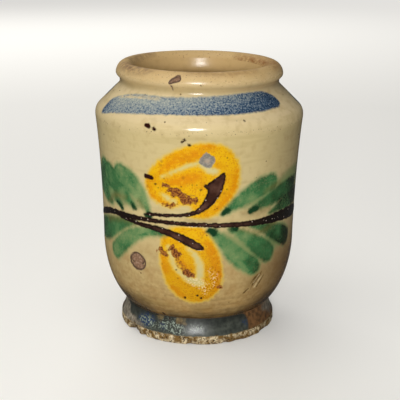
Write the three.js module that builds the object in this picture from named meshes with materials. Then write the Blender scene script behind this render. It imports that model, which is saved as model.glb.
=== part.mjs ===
// A hand-thrown tin-glazed earthenware vase of the drug-jar kind, with a flared foot, a curved lower
// body, a tall wall, a sloping shoulder and a rolled rim. Millimetres, +Z up, origin at the centre of
// the ring that it stands on.
//
// The clay is four thrown pieces, luted together with slip while leather-hard: the foot ring, the
// body with its floor, the shoulder collar and the rolled rim. Two coats of glaze cover them, one
// outside and one inside, and leave the standing edge of the foot bare.
import * as THREE from "three";

// Driving dimensions of the finished, glazed vase.
const HEIGHT = 150;
const FOOT_RADIUS = 44.6;
const FOOT_HEIGHT = 14.5;
const CREASE_RADIUS = 41.3; // where the lower body rises out of the foot
const BOWL_HEIGHT = 50; // where the curved lower body becomes the wall
const BOWL_RADIUS = 54.2;
const SHOULDER_HEIGHT = 119.5; // where the wall ends and the shoulder collar begins
const SHOULDER_RADIUS = 57.6;
const RIM_RADIUS = 46.1;
const ROLL_RADIUS = 5.3; // of the rolled rim, over its outer half
const ROLL_INNER_RADIUS = 4.2; // of its inner half, which runs on into the throat
const ROLL_INNER_TURN = 1.31; // radians, from the crest down to the throat
const NECK_RADIUS = 43.9; // in the crease under the rim
const THROAT_RADIUS = 36.2; // inside the neck
const NARROWEST_RADIUS = 35.8; // at the foot of the throat
const NARROWEST_HEIGHT = 140;
const INNER_SHOULDER_RADIUS = 50.5; // inside, at the top of the wall
const INNER_BOWL_RADIUS = 47.6; // inside, at the foot of the wall
const FLOOR_RADIUS = 30; // inside, where the floor turns up into the bowl
const FLOOR_TOP = 16; // the inside of the floor at its middle
const FLOOR_DISH = 1; // how much higher its edge is
const FLOOR_UNDERSIDE = 8;
const GLAZE = 0.6; // thickness of each coat
const BARE_EDGE = 5; // height of the unglazed edge round the foot
const BARE_EDGE_TAPER = 0.2; // how far that edge leans in
const SLIP = 0.5; // thickness of the clay slip in each luted seam
const TONGUE = 3; // how far the shoulder and rim seams step up
const SEGMENTS = 40; // sides of each turned piece

// The seams' steps and the foot ring's bore.
const FOOT_STEP_RADIUS = 39;
const SHOULDER_STEP_RADIUS = 53.7;
const RIM_STEP_RADIUS = 40.2;
const LEDGE_RADIUS = 35.5; // the inner edge of the foot's seat, under the floor
const BORE_RADIUS = 37; // the foot ring's bore where it stands
const EDGE_ROUNDING = 1.2; // worn corner at the outside of the standing ring

// Where the rolled rim's round section sits, and where it meets the neck.
const ROLL_CENTRE_RADIUS = RIM_RADIUS - ROLL_RADIUS;
const ROLL_CENTRE_HEIGHT = HEIGHT - ROLL_RADIUS;
const ROLL_START = -Math.acos((NECK_RADIUS - ROLL_CENTRE_RADIUS) / ROLL_RADIUS);
const ROLL_LIFT = ROLL_START + SLIP / ROLL_RADIUS; // past the slip in the crease
const NECK_HEIGHT = ROLL_CENTRE_HEIGHT + ROLL_RADIUS * Math.sin(ROLL_START);

const point = (radius, height) => new THREE.Vector2(radius, height);
const line = (from, to) => new THREE.LineCurve(from, to);
const bend = (from, control, to) => new THREE.QuadraticBezierCurve(from, control, to);
const sweep = (from, leaving, reaching, to) => new THREE.CubicBezierCurve(from, leaving, reaching, to);
const first = (points) => points[0];
const last = (points) => points[points.length - 1];

// The points of a run of curves, end to end, with the shared ends given once.
function trace(...runs) {
  const points = runs.flatMap(([curve, divisions]) => curve.getPoints(divisions).slice(1));
  return [runs[0][0].getPoint(0), ...points];
}

// The same line moved sideways, to the left of the way it runs.
function inset(points, distance) {
  return points.map((here, i) => {
    const before = points[Math.max(i - 1, 0)];
    const after = points[Math.min(i + 1, points.length - 1)];
    const along = after.clone().sub(before).normalize();
    return point(here.x - along.y * distance, here.y + along.x * distance);
  });
}

// The foot's glazed outside: a hollow curve from the top of the bare edge to the crease.
const glazeEdge = point(FOOT_RADIUS - BARE_EDGE_TAPER, BARE_EDGE);
const footHollow = point(42.2, 8.5);
const crease = point(CREASE_RADIUS, FOOT_HEIGHT);
const footOutside = trace([bend(glazeEdge, footHollow, crease), 4]);

// The body's outside, a layer of slip above the crease: the bowl, then the wall, which leans out.
const bodyFoot = point(CREASE_RADIUS + SLIP, FOOT_HEIGHT + SLIP);
const bowlLeaving = point(46.5, 20);
const bowlReaching = point(53.4, 31);
const bowlTop = point(BOWL_RADIUS, BOWL_HEIGHT);
const wallLean = point(54.5, 88);
const wallTop = point(SHOULDER_RADIUS, SHOULDER_HEIGHT);
const bodyOutside = trace(
  [sweep(bodyFoot, bowlLeaving, bowlReaching, bowlTop), 7],
  [bend(bowlTop, wallLean, wallTop), 4],
);

// The collar's outside: the rounded corner, the slope and the hollow of the neck.
const collarFoot = point(SHOULDER_RADIUS, SHOULDER_HEIGHT + SLIP);
const corner = point(58.3, 125);
const slopeFoot = point(55.6, 127.2);
const slopeTop = point(46.6, 136);
const neckHollow = point(43.7, 138.8);
const neckTop = point(NECK_RADIUS, NECK_HEIGHT);
const collarOutside = trace(
  [bend(collarFoot, corner, slopeFoot), 4],
  [line(slopeFoot, slopeTop), 1],
  [bend(slopeTop, neckHollow, neckTop), 3],
);

// The roll of the rim, round over its crest and down into the mouth.
const roll = (reach, start, end) =>
  new THREE.EllipseCurve(ROLL_CENTRE_RADIUS, ROLL_CENTRE_HEIGHT, reach, ROLL_RADIUS, start, end);
const rimOutside = trace(
  [roll(ROLL_RADIUS, ROLL_LIFT, Math.PI / 2), 7],
  [roll(ROLL_INNER_RADIUS, Math.PI / 2, Math.PI / 2 + ROLL_INNER_TURN), 4],
);

// The glazed inside, from below the mouth down to the middle of the floor.
const throatTop = point(THROAT_RADIUS, NECK_HEIGHT + TONGUE + SLIP);
const rimInside = [throatTop];

const collarThroat = point(THROAT_RADIUS, NECK_HEIGHT + TONGUE);
const throatFoot = point(NARROWEST_RADIUS, NARROWEST_HEIGHT);
const throatLeaving = point(NARROWEST_RADIUS, 135);
const domeReaching = point(47.8, 132);
const collarInnerFoot = point(INNER_SHOULDER_RADIUS, SHOULDER_HEIGHT + TONGUE + SLIP);
const collarInside = trace(
  [line(collarThroat, throatFoot), 1],
  [sweep(throatFoot, throatLeaving, domeReaching, collarInnerFoot), 5],
);

const innerWallTop = point(INNER_SHOULDER_RADIUS, SHOULDER_HEIGHT + TONGUE);
const innerBowlTop = point(INNER_BOWL_RADIUS, BOWL_HEIGHT);
const innerBowlLeaving = point(46.6, 32);
const innerBowlReaching = point(42, 18.5);
const floorEdge = point(FLOOR_RADIUS, FLOOR_TOP + FLOOR_DISH);
const floorCentre = point(0, FLOOR_TOP);
const bodyInside = trace(
  [line(innerWallTop, innerBowlTop), 2],
  [sweep(innerBowlTop, innerBowlLeaving, innerBowlReaching, floorEdge), 6],
  [line(floorEdge, floorCentre), 1],
);

// The clay lies one coat of glaze below that surface, stretch by stretch.
const outside = [...footOutside, ...bodyOutside, ...collarOutside, ...rimOutside];
const inside = [last(rimOutside), ...rimInside, ...collarInside, ...bodyInside];
const glazed = [...outside, ...inside.slice(1)];
const clay = inset(glazed, GLAZE);
last(clay).x = 0;
const clayUnder = (stretch) => stretch.map((surface) => clay[glazed.indexOf(surface)]);

const footSkin = clayUnder(footOutside);
const bodySkin = clayUnder(bodyOutside);
const collarSkin = clayUnder(collarOutside);
const rimSkin = clayUnder(rimOutside);
const rimLining = clayUnder(rimInside);
const collarLining = clayUnder(collarInside);
const bodyLining = clayUnder(bodyInside);

// A rebated seam: both faces run in from the skin, step up or down, and run on to the lining, with a
// layer of slip between them.
function seam(lowerSkin, upperSkin, lowerLining, upperLining, stepRadius) {
  const stepsUp = lowerLining.y > lowerSkin.y;
  const upperStepRadius = stepsUp ? stepRadius + SLIP : stepRadius - SLIP;
  const lower = [point(stepRadius, lowerSkin.y), point(stepRadius, lowerLining.y)];
  const upper = [point(upperStepRadius, upperLining.y), point(upperStepRadius, upperSkin.y)];
  const upperFace = [upperSkin, ...upper.toReversed(), upperLining];
  const lowerFace = [lowerLining, ...lower.toReversed(), lowerSkin];
  return { lower, upper, slip: [...upperFace, ...lowerFace] };
}

const footLedge = point(LEDGE_RADIUS, FLOOR_UNDERSIDE - SLIP);
const bodyLedge = point(LEDGE_RADIUS, FLOOR_UNDERSIDE);
const footSeam = seam(last(footSkin), first(bodySkin), footLedge, bodyLedge, FOOT_STEP_RADIUS);
const shoulderSeam = seam(
  last(bodySkin),
  first(collarSkin),
  first(bodyLining),
  last(collarLining),
  SHOULDER_STEP_RADIUS,
);
const rimSeam = seam(
  last(collarSkin),
  first(rimSkin),
  first(collarLining),
  last(rimLining),
  RIM_STEP_RADIUS,
);

// The bare standing edge of the foot, from its bore to the edge of the glaze.
const standingEdge = [
  point(BORE_RADIUS, 0),
  point(FOOT_RADIUS - EDGE_ROUNDING, 0),
  point(FOOT_RADIUS, EDGE_ROUNDING),
  glazeEdge,
];
const floorMiddle = point(0, FLOOR_UNDERSIDE);

// Each piece's outline runs up its outside and back down its inside.
const outlines = {
  foot_ring: [...standingEdge, ...footSkin, ...footSeam.lower, footLedge],
  foot_slip: footSeam.slip,
  thrown_body: [
    floorMiddle,
    bodyLedge,
    ...footSeam.upper,
    ...bodySkin,
    ...shoulderSeam.lower,
    ...bodyLining,
  ],
  shoulder_slip: shoulderSeam.slip,
  shoulder_collar: [...collarSkin, ...rimSeam.lower, ...collarLining, ...shoulderSeam.upper],
  rim_slip: rimSeam.slip,
  rolled_rim: [...rimSkin, ...rimLining, ...rimSeam.upper],
  outer_glaze: [...outside, ...clayUnder(outside).toReversed()],
  inner_glaze: [...inside, ...clayUnder(inside).toReversed()],
};

const earthenware = { color: "#b98f63", roughness: 0.9, metalness: 0 };
const slip = { color: "#c7a67c", roughness: 0.9, metalness: 0 };
const tinGlaze = { color: "#cdb88a", roughness: 0.18, metalness: 0 };
const finishes = {
  foot_ring: earthenware,
  foot_slip: slip,
  thrown_body: earthenware,
  shoulder_slip: slip,
  shoulder_collar: earthenware,
  rim_slip: slip,
  rolled_rim: earthenware,
  outer_glaze: tinGlaze,
  inner_glaze: tinGlaze,
};

// Turns an outline about the vase's axis: a ring, or a cup or skin where its ends lie on the axis.
function turned(name, outline) {
  const meetsAxis = first(outline).x === 0 && last(outline).x === 0;
  const closed = meetsAxis ? outline : [...outline, first(outline)];
  const geometry = new THREE.LatheGeometry(closed, SEGMENTS).rotateX(Math.PI / 2);
  const mesh = new THREE.Mesh(geometry, new THREE.MeshStandardMaterial(finishes[name]));
  mesh.name = name;
  return mesh;
}

const vase = new THREE.Group();
for (const [name, outline] of Object.entries(outlines)) vase.add(turned(name, outline));

export default vase;
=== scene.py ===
# A hand-thrown, tin-glazed earthenware vase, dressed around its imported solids, section by section as a
# potter makes it. The vase's sizes are in millimetres, which MM turns into metres. The studio's are metres.
import math

import bmesh
import bpy
import numpy as np
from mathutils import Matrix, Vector, noise
from mathutils.geometry import interpolate_bezier


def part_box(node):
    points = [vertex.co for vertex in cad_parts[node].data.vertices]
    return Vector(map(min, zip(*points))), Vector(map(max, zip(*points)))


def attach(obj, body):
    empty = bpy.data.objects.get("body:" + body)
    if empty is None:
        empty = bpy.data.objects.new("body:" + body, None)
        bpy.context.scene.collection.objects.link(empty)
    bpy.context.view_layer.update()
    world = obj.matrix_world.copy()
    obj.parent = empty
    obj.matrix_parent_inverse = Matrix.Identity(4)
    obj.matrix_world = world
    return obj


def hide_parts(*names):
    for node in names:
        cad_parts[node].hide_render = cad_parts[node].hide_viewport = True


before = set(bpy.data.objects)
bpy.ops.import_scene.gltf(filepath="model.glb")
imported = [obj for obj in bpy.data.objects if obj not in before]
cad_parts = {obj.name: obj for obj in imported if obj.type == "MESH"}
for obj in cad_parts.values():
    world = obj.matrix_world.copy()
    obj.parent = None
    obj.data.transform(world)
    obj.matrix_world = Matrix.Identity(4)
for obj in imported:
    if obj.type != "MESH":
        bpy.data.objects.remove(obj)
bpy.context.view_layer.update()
MM = 0.001


# The foot ring
# A thrown ring of buff earthenware, flared, that the body is bedded into with slip. It is fired to
# biscuit. Its standing edge has no glaze, and years of being set down have chipped and soiled it.
_, foot_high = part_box("foot_ring")
FOOT_RADIUS = foot_high.x / MM
FOOT_TOP = foot_high.z / MM
FOOT_STEPS = 360
BARE_EDGE = 5.0
EDGE_ROUNDING = 1.2
EDGE_STEP = 0.6
BORE_RADIUS = 37.0
LEDGE = (35.5, 7.5)
SEAT_RADIUS = 39.0
WOBBLE = 0.12

# Chips along the standing edge: how far round from the front, half their width, and their depth.
EDGE_CHIPS = [
    (-42, 5.0, 2.2), (-33, 2.0, 0.6), (-3, 3.0, 0.6), (16, 2.0, 0.7), (24, 3.5, 0.5), (46, 5.0, 0.9),
    (83, 3.0, 0.8), (108, 7.0, 1.9), (-97, 4.0, 1.1), (-126, 2.5, 0.7),
]
CHIP_REACH = 4.5

# Grit that roughens the edge: its size up and across, and its size round the foot, in radians.
GRIT = 3.0
GRIT_TURN = 1 / 9


def turned(name, outline, steps):
    """An outline of (radius, height) points turned about the vase's axis into one closed piece."""
    bm = bmesh.new()
    verts = [bm.verts.new((radius * MM, 0, height * MM)) for radius, height in outline]
    pairs = list(zip(verts, verts[1:]))
    if outline[0][0] > 0:
        pairs.append((verts[-1], verts[0]))
    edges = [bm.edges.new(pair) for pair in pairs]
    bmesh.ops.spin(
        bm, geom=verts + edges, cent=(0, 0, 0), axis=(0, 0, 1), steps=steps, angle=math.tau, use_merge=True
    )
    bmesh.ops.remove_doubles(bm, verts=bm.verts, dist=0.001 * MM)
    bmesh.ops.recalc_face_normals(bm, faces=bm.faces)
    mesh = bpy.data.meshes.new(name)
    bm.to_mesh(mesh)
    bm.free()
    mesh.shade_smooth()
    mesh.set_sharp_from_angle(angle=math.radians(50))
    piece = bpy.data.objects.new(name, mesh)
    bpy.context.scene.collection.objects.link(piece)
    return piece


def stepped(points, step):
    """The same line with points no further than step apart on each straight stretch."""
    line = [points[0]]
    for start, end in zip(points, points[1:]):
        count = math.ceil(math.dist(start, end) / step)
        line += [tuple(Vector(start).lerp(Vector(end), i / count)) for i in range(1, count + 1)]
    return line


def places(piece):
    """Each vertex's place in mm: its angle from the front, its radius and its height."""
    co = np.empty(len(piece.data.vertices) * 3)
    piece.data.vertices.foreach_get("co", co)
    x, y, z = co.reshape(-1, 3).T / MM
    return np.arctan2(x, -y), np.hypot(x, y), z


def put_back(piece, angle, radius, height):
    """Moves each vertex to that angle, radius and height."""
    co = np.column_stack([radius * np.sin(angle), -radius * np.cos(angle), height]) * MM
    piece.data.vertices.foreach_set("co", co.ravel())
    piece.data.update()


def fade(value, start, end):
    """0 as far as the start, 1 from the end on, and evenly more between them."""
    return np.clip((value - start) / (end - start), 0, 1)


def out_of_true(angle, height):
    """How far a hand-thrown wall stands out of true, in mm, at an angle and height."""
    slow = np.sin(2 * angle + 0.6 + height / 61) + 0.7 * np.sin(3 * angle - 1.1 - height / 37)
    return WOBBLE * slow


standing_edge = [
    (BORE_RADIUS, 0),
    (FOOT_RADIUS - EDGE_ROUNDING, 0),
    (FOOT_RADIUS - 0.3 * EDGE_ROUNDING, 0.3 * EDGE_ROUNDING),
    (FOOT_RADIUS, EDGE_ROUNDING),
    (FOOT_RADIUS - 0.2, BARE_EDGE),
]
under_glaze = [(43.7, BARE_EDGE - 0.2), (42.2, 7.6), (41.3, 10.5), (40.7, FOOT_TOP)]
seat = [(SEAT_RADIUS, FOOT_TOP), (SEAT_RADIUS, LEDGE[1]), LEDGE]
foot = turned(
    "foot_ring_clay",
    stepped(standing_edge, EDGE_STEP) + under_glaze + seat + stepped([LEDGE, standing_edge[0]], 1.0)[1:-1],
    FOOT_STEPS,
)

angle, radius, height = places(foot)
to_corner = np.hypot(radius - FOOT_RADIUS, height - EDGE_ROUNDING / 2)
nearness = fade(to_corner, CHIP_REACH, 0)
chipped = np.zeros(len(angle))
for arc, half_width, depth in EDGE_CHIPS:
    off = (FOOT_RADIUS * angle - arc) / half_width
    chipped = np.maximum(chipped, depth * np.clip(1 - off**2, 0, 1) ** 0.6)
spots = [Vector((a / GRIT_TURN, h / GRIT, r / GRIT)) for a, r, h in zip(angle, radius, height)]
grit = np.array([noise.fractal(spot, 1.0, 2.0, 4) for spot in spots])
worn = nearness * (chipped * (1 + 0.5 * grit) + 0.35 * np.abs(grit))
bare = to_corner < CHIP_REACH + 1
radius = radius - np.where(bare, np.maximum(worn, 0) * 0.8, 0) + out_of_true(angle, height)
height = height + np.where(bare & (height < 4), np.maximum(worn, 0) * 0.6, 0)
put_back(foot, angle, radius, height)
grime = foot.data.attributes.new("grime", "FLOAT", "POINT")
grime.data.foreach_set("value", np.clip(worn, 0, 1).astype(np.float32))


def linear(colour):
    """A hex sRGB colour as the linear values that the shaders use."""
    parts = [int(colour[i : i + 2], 16) / 255 for i in (1, 3, 5)]
    return [c / 12.92 if c <= 0.04045 else ((c + 0.055) / 1.055) ** 2.4 for c in parts] + [1]


def wire(node, sockets):
    """Sets or links a node's sockets. Colours are given as hex values."""
    for socket, value in sockets.items():
        if isinstance(value, bpy.types.NodeSocket):
            node.id_data.links.new(value, node.inputs[socket])
        elif isinstance(value, str):
            node.inputs[socket].default_value = linear(value)
        else:
            node.inputs[socket].default_value = value


def add(tree, kind, sockets, out=0, **settings):
    """Adds a shader node with its settings and links, and gives one of its outputs."""
    node = tree.nodes.new("ShaderNode" + kind)
    for name, value in settings.items():
        setattr(node, name, value)
    wire(node, sockets)
    return node.outputs[out]


def finish_of(name):
    """A new material, with its node tree and its shader."""
    material = bpy.data.materials.new(name)
    material.use_nodes = True
    tree = material.node_tree
    return material, tree, tree.nodes["Principled BSDF"]


def laid_on(tree, ground, coats):
    """A ground colour with coats laid on it in turn. Each has a colour, its cover, and masks on that."""
    for colour, cover, *masks in coats:
        for mask in masks:
            cover = add(tree, "Math", {0: cover, 1: mask}, operation="MULTIPLY")
        ground = add(tree, "Mix", {0: cover, 6: ground, 7: colour}, out=2, data_type="RGBA")
    return ground


def biscuit_earthenware(name, body_colour, dark_colour, dusty_colour):
    """Porous fired clay, matt, blotched by the kiln, with fine grit and grime in its chips."""
    material, tree, shader = finish_of(name)
    place = add(tree, "TexCoord", {}, out="Object")
    blotch = add(tree, "TexNoise", {"Vector": place, "Scale": 1 / (2.6 * MM), "Detail": 6})
    sand = add(tree, "TexNoise", {"Vector": place, "Scale": 1 / (0.9 * MM), "Detail": 2})
    dusty = add(tree, "MapRange", {"Value": blotch, "From Min": 0.44, "From Max": 0.64})
    grains = add(tree, "MapRange", {"Value": sand, "From Min": 0.52, "From Max": 0.66, "To Max": 0.9})
    soiled = add(tree, "Attribute", {}, out="Fac", attribute_name="grime")
    coats = [(dusty_colour, dusty), (dark_colour, grains), (dark_colour, soiled, blotch)]
    colour = laid_on(tree, body_colour, coats)
    relief = add(tree, "Bump", {"Height": sand, "Distance": 0.15 * MM, "Strength": 0.7})
    wire(shader, {"Base Color": colour, "Roughness": 0.85, "IOR": 1.5, "Normal": relief})
    return material


BUFF_CLAY = biscuit_earthenware("biscuit earthenware, thrown and worn", "#7e5f2c", "#2c1b0d", "#ead6ac")
foot.data.materials.append(BUFF_CLAY)
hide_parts("foot_ring")
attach(foot, "root")


# The thrown body
# The cup of the vase, thrown in one piece from the same clay: floor, curved lower body and wall. Only
# its underside shows, inside the foot ring, with the rings that the potter's turning tool left.
body_low, body_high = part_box("thrown_body")
FLOOR_UNDERSIDE = body_low.z / MM
BODY_TOP = body_high.z / MM
BODY_STEPS = 200
BODY_ROW = 4.0
FLOOR_THICKNESS = 7.4
TURNING_RING = 4.2
TURNING_DEPTH = 0.25
CLAY_SEAT = 38.5
CLAY_FOOT = (41.3, 15.4)
CLAY_BOWL = (53.6, 50.0)
CLAY_SHOULDER = (57.0, 119.5)
TONGUE_RADIUS = 53.7
LINING_TOP = 51.1
LINING_BOWL = (48.2, 50.0)
LINING_FLOOR = (30.0, 16.4)


def drawn(stretches, step):
    """The points along a chain of curves, each given by its ends and two handles, about step apart."""
    line = []
    for start, leaving, reaching, end in stretches:
        count = max(2, math.ceil(math.dist(start, end) / step) + 1)
        curve = interpolate_bezier(Vector(start), Vector(leaving), Vector(reaching), Vector(end), count)
        line += [tuple(p) for p in curve[:-1]]
    return line + [stretches[-1][3]]


def turning_marks(radius):
    """The underside's height at a radius: rounded grooves, deepest away from the middle."""
    return FLOOR_UNDERSIDE + TURNING_DEPTH * (1 - math.cos(math.tau * radius / TURNING_RING)) / 2


underside = [(r / 2, turning_marks(r / 2)) for r in range(0, int(2 * LEDGE[0]) + 1)]
bowl_skin = (CLAY_FOOT, (46.2, 20.6), (52.8, 31.4), CLAY_BOWL)
wall_skin = (CLAY_BOWL, (53.8, 75.0), (54.9, 98.0), CLAY_SHOULDER)
bowl_lining = (LINING_BOWL, (47.2, 31.6), (42.4, 18.0), LINING_FLOOR)
body = turned(
    "thrown_body_clay",
    underside
    + [(CLAY_SEAT, FLOOR_UNDERSIDE), (CLAY_SEAT, CLAY_FOOT[1])]
    + drawn([bowl_skin, wall_skin], BODY_ROW)
    + [(TONGUE_RADIUS, CLAY_SHOULDER[1]), (TONGUE_RADIUS, BODY_TOP), (LINING_TOP, BODY_TOP)]
    + drawn([bowl_lining], BODY_ROW)
    + [(0, FLOOR_UNDERSIDE + FLOOR_THICKNESS)],
    BODY_STEPS,
)
body.data.materials.append(BUFF_CLAY)
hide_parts("thrown_body")
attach(body, "root")


# The shoulder collar, the rolled rim and the luted seams
# Two more thrown rings of the same clay, joined on with slip, a cream of finer and paler clay. Glaze
# covers them all, so the solids stand as they are, in biscuit clay and in dried slip.
DRIED_SLIP = biscuit_earthenware("clay slip, dried and fired", "#c7a67c", "#94714a", "#dbc6a0")
COVERED = {
    BUFF_CLAY: ["shoulder_collar", "rolled_rim"],
    DRIED_SLIP: ["foot_slip", "shoulder_slip", "rim_slip"],
}
for material, names in COVERED.items():
    for name in names:
        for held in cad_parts[name].material_slots:
            held.material = material


# The inner glaze
# A coat of plain tin glaze, swilled round the inside and poured out. It is glossy and slightly tan
# where it ran thin, and the rings that the potter's fingers pulled show through it.
INNER_STEPS = 256
INNER_ROW = 1.3
INNER_BACKING_ROW = 6.0
GLAZE = 0.6
BACKING_DEPTH = GLAZE - 0.05
MOUTH = (36.74, 146.07)
THROAT = (36.2, 143.4)
NARROWEST = (35.8, 140.0)
INNER_SHOULDER = (50.5, 122.5)
INNER_BOWL = (47.6, 50.0)
INNER_FLOOR = (30.0, 17.0)
FLOOR_MIDDLE = (0.0, 16.0)
PULLED_RING = 7.0
PULLED_DEPTH = 0.22
BACK_RISE = 0.6
LOWEST_AT = math.radians(22)
LIP_SWELL = 1.6

# Where the rings, the rise and the swell set in and where they are whole. All are heights, but for the
# corner of the floor, past whose radii the rings begin.
PULLED_UP_TO = (136, 124)
FLOOR_CORNER = (37, 43)
RISING = (105, 145)
SWELLING = (124, 142)

inner_stretches = [
    (MOUTH, (36.55, 145.2), (36.36, 144.3), THROAT),
    (THROAT, (36.0, 142.3), (35.85, 141.2), NARROWEST),
    (NARROWEST, (35.8, 135.0), (47.8, 132.0), INNER_SHOULDER),
    (INNER_SHOULDER, (49.8, 100.0), (48.2, 72.0), INNER_BOWL),
    (INNER_BOWL, (46.6, 32.0), (42.0, 18.5), INNER_FLOOR),
    (INNER_FLOOR, (20.0, 16.6), (10.0, 16.1), FLOOR_MIDDLE),
]


def inset(line, depth):
    """A line moved to the left of the way it runs, by a depth."""
    moved = []
    for i, (radius, height) in enumerate(line):
        before, after = Vector(line[max(i - 1, 0)]), Vector(line[min(i + 1, len(line) - 1)])
        along = (after - before).normalized()
        moved.append((max(radius - along.y * depth, 0), height + along.x * depth))
    return moved


def rise(angle, height):
    """How far the top stands above level, in mm: not at its lowest place, and most opposite that."""
    return BACK_RISE * (1 - np.cos(angle - LOWEST_AT)) / 2 * fade(height, *RISING)


def swell(angle):
    """How much further in the lip reaches, in mm, since its roll is thicker on the right."""
    return LIP_SWELL * (0.5 + 0.5 * np.sin(angle)) ** 2


backing = inset(drawn(inner_stretches, INNER_BACKING_ROW), BACKING_DEPTH)
backing[-1] = (0, backing[-1][1])
inner = turned("inner_glaze_coat", drawn(inner_stretches, INNER_ROW) + backing[::-1], INNER_STEPS)
angle, radius, height = places(inner)
pulled = PULLED_DEPTH * np.sin(math.tau * height / PULLED_RING + angle)
pulled *= fade(height, *PULLED_UP_TO) * fade(radius, *FLOOR_CORNER)
radius = radius + out_of_true(angle, height) + pulled
radius -= swell(angle) * fade(height, *SWELLING)
put_back(inner, angle, radius, height + rise(angle, height))


def tin_glaze(tree, place, tone):
    """The colour of bare tin glaze: cream, clouded, browner low down, partly as thinner glaze and partly
    as painted shade, with kiln specks.
    """
    height = add(tree, "SeparateXYZ", {0: place}, out="Z")
    cloud = add(tree, "TexNoise", {"Vector": place, "Scale": 1 / (24 * MM), "Detail": 4})
    drift = add(tree, "Math", {0: cloud, 1: 30 * MM, 2: height}, operation="MULTIPLY_ADD")
    thick = add(tree, "MapRange", {"Value": drift, "From Min": 30 * MM, "From Max": 95 * MM})
    over = add(tree, "MapRange", {"Value": height, "From Min": 119 * MM, "From Max": 127 * MM})
    mottle = add(tree, "TexNoise", {"Vector": place, "Scale": 1 / (4 * MM), "Detail": 5})
    thin = add(tree, "MapRange", {"Value": mottle, "From Min": 0.5, "From Max": 0.8, "To Max": 0.45})
    specks = add(tree, "TexVoronoi", {"Vector": place, "Scale": 1 / (7 * MM)})
    speck = add(tree, "MapRange", {"Value": specks, "From Min": 0.09, "From Max": 0.05, "To Max": 0.8})
    # The low tone is partly painted shade.
    coats = [(tone["wall"], thick), (tone["high"], over), (tone["thin"], thin), ("#5c4424", speck)]
    return laid_on(tree, tone["low"], coats)


def orange_peel(tree, place):
    """The relief of a dipped glaze: a soft orange peel of 3 mm over level throwing lines."""
    peel = add(tree, "TexNoise", {"Vector": place, "Scale": 1 / (3 * MM), "Detail": 2})
    level = add(tree, "Mapping", {"Vector": place, "Scale": (0.15, 0.15, 1)})
    lines = add(tree, "TexNoise", {"Vector": level, "Scale": 1 / (2.5 * MM), "Detail": 2})
    return add(tree, "Math", {0: lines, 1: 0.6, 2: peel}, operation="MULTIPLY_ADD")


# To the eye: a warm tan cream, slightly wavy, whose gloss shows the soft box as one blurred patch.
INSIDE_TONE = {"low": "#b0925a", "wall": "#c8a970", "high": "#cfae77", "thin": "#b4925b"}
material, tree, shader = finish_of("tin glaze, poured, plain")
place = add(tree, "TexCoord", {}, out="Object")
colour = tin_glaze(tree, place, INSIDE_TONE)
relief = add(tree, "Bump", {"Height": orange_peel(tree, place), "Distance": 0.06 * MM})
wire(shader, {"Base Color": colour, "Roughness": 0.28, "IOR": 1.5, "Normal": relief})
inner.data.materials.append(material)
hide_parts("inner_glaze")
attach(inner, "root")


# The outer glaze
# A dipped coat of tin glaze, from the bare edge of the foot up over the rim, with oxides brushed onto it
# before one firing: cobalt, antimony yellow, copper green and manganese. It has chips down to the clay.
OUTER_STEPS = 448
OUTER_ROW = 0.92
OUTER_BACKING_ROW = 8.0
GLAZE_EDGE = (FOOT_RADIUS - 0.2, BARE_EDGE)
CREASE = (41.3, 14.5)
BOWL_FOOT = (41.8, 15.0)
BOWL_TOP = (54.2, 50.0)
WALL_TOP = (57.6, 119.5)
SLOPE_FOOT = (55.6, 127.2)
SLOPE_TOP = (47.2, 135.4)
NECK_FOOT = (44.0, 139.4)
NECK = (44.1, 141.0)
RIM_EDGE = (46.1, 143.9)
CREST = (40.8, 150.0)

outer_stretches = [
    (GLAZE_EDGE, (42.9, 7.3), (41.9, 10.5), CREASE),
    (CREASE, (41.4, 14.7), (41.6, 14.9), BOWL_FOOT),
    (BOWL_FOOT, (46.5, 20.0), (53.4, 31.0), BOWL_TOP),
    (BOWL_TOP, (54.4, 75.3), (55.5, 98.5), WALL_TOP),
    (WALL_TOP, (58.2, 123.2), (57.5, 125.5), SLOPE_FOOT),
    (SLOPE_FOOT, (52.6, 130.1), (49.9, 132.8), SLOPE_TOP),
    (SLOPE_TOP, (45.4, 137.1), (44.1, 138.0), NECK_FOOT),
    (NECK_FOOT, (44.0, 140.0), (44.0, 140.5), NECK),
    (NECK, (44.6, 142.0), (46.0, 142.7), RIM_EDGE),
    (RIM_EDGE, (46.2, 146.6), (43.9, 150.0), CREST),
    (CREST, (38.9, 150.0), (37.16, 148.03), MOUTH),
]
backing = inset(drawn(outer_stretches, OUTER_BACKING_ROW), BACKING_DEPTH)
outer = turned("outer_glaze_coat", drawn(outer_stretches, OUTER_ROW) + backing[::-1], OUTER_STEPS)

# The painting is laid out on the skin unrolled: mm round the wall from the front, to the right, and mm
# up it, which go on past the crest of the rim as the skin turns down into the mouth.
PAINT_RADIUS = 55.0
ROUND = math.tau * PAINT_RADIUS
FAR = 15.0
angle, radius, height = places(outer)
across = angle * PAINT_RADIUS
up = np.where((radius < CREST[0]) & (height > MOUTH[1] - 1), 2 * CREST[1] - height, height)


def flowing(points, closed=False, samples=8):
    """A smooth line through the given points, with so many samples to each span."""
    p = np.array(points, float)
    p = np.vstack([p[-1:], p, p[:2]]) if closed else np.vstack([2 * p[0] - p[1], p, 2 * p[-1] - p[-2]])
    t = np.arange(samples)[:, None] / samples
    spans = [
        b + (c - a) / 2 * t + (a - 2.5 * b + 2 * c - d / 2) * t**2 + (1.5 * (b - c) + (d - a) / 2) * t**3
        for a, b, c, d in zip(p, p[1:], p[2:], p[3:])
    ]
    return np.vstack(spans + [p[-2:-1]])


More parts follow.
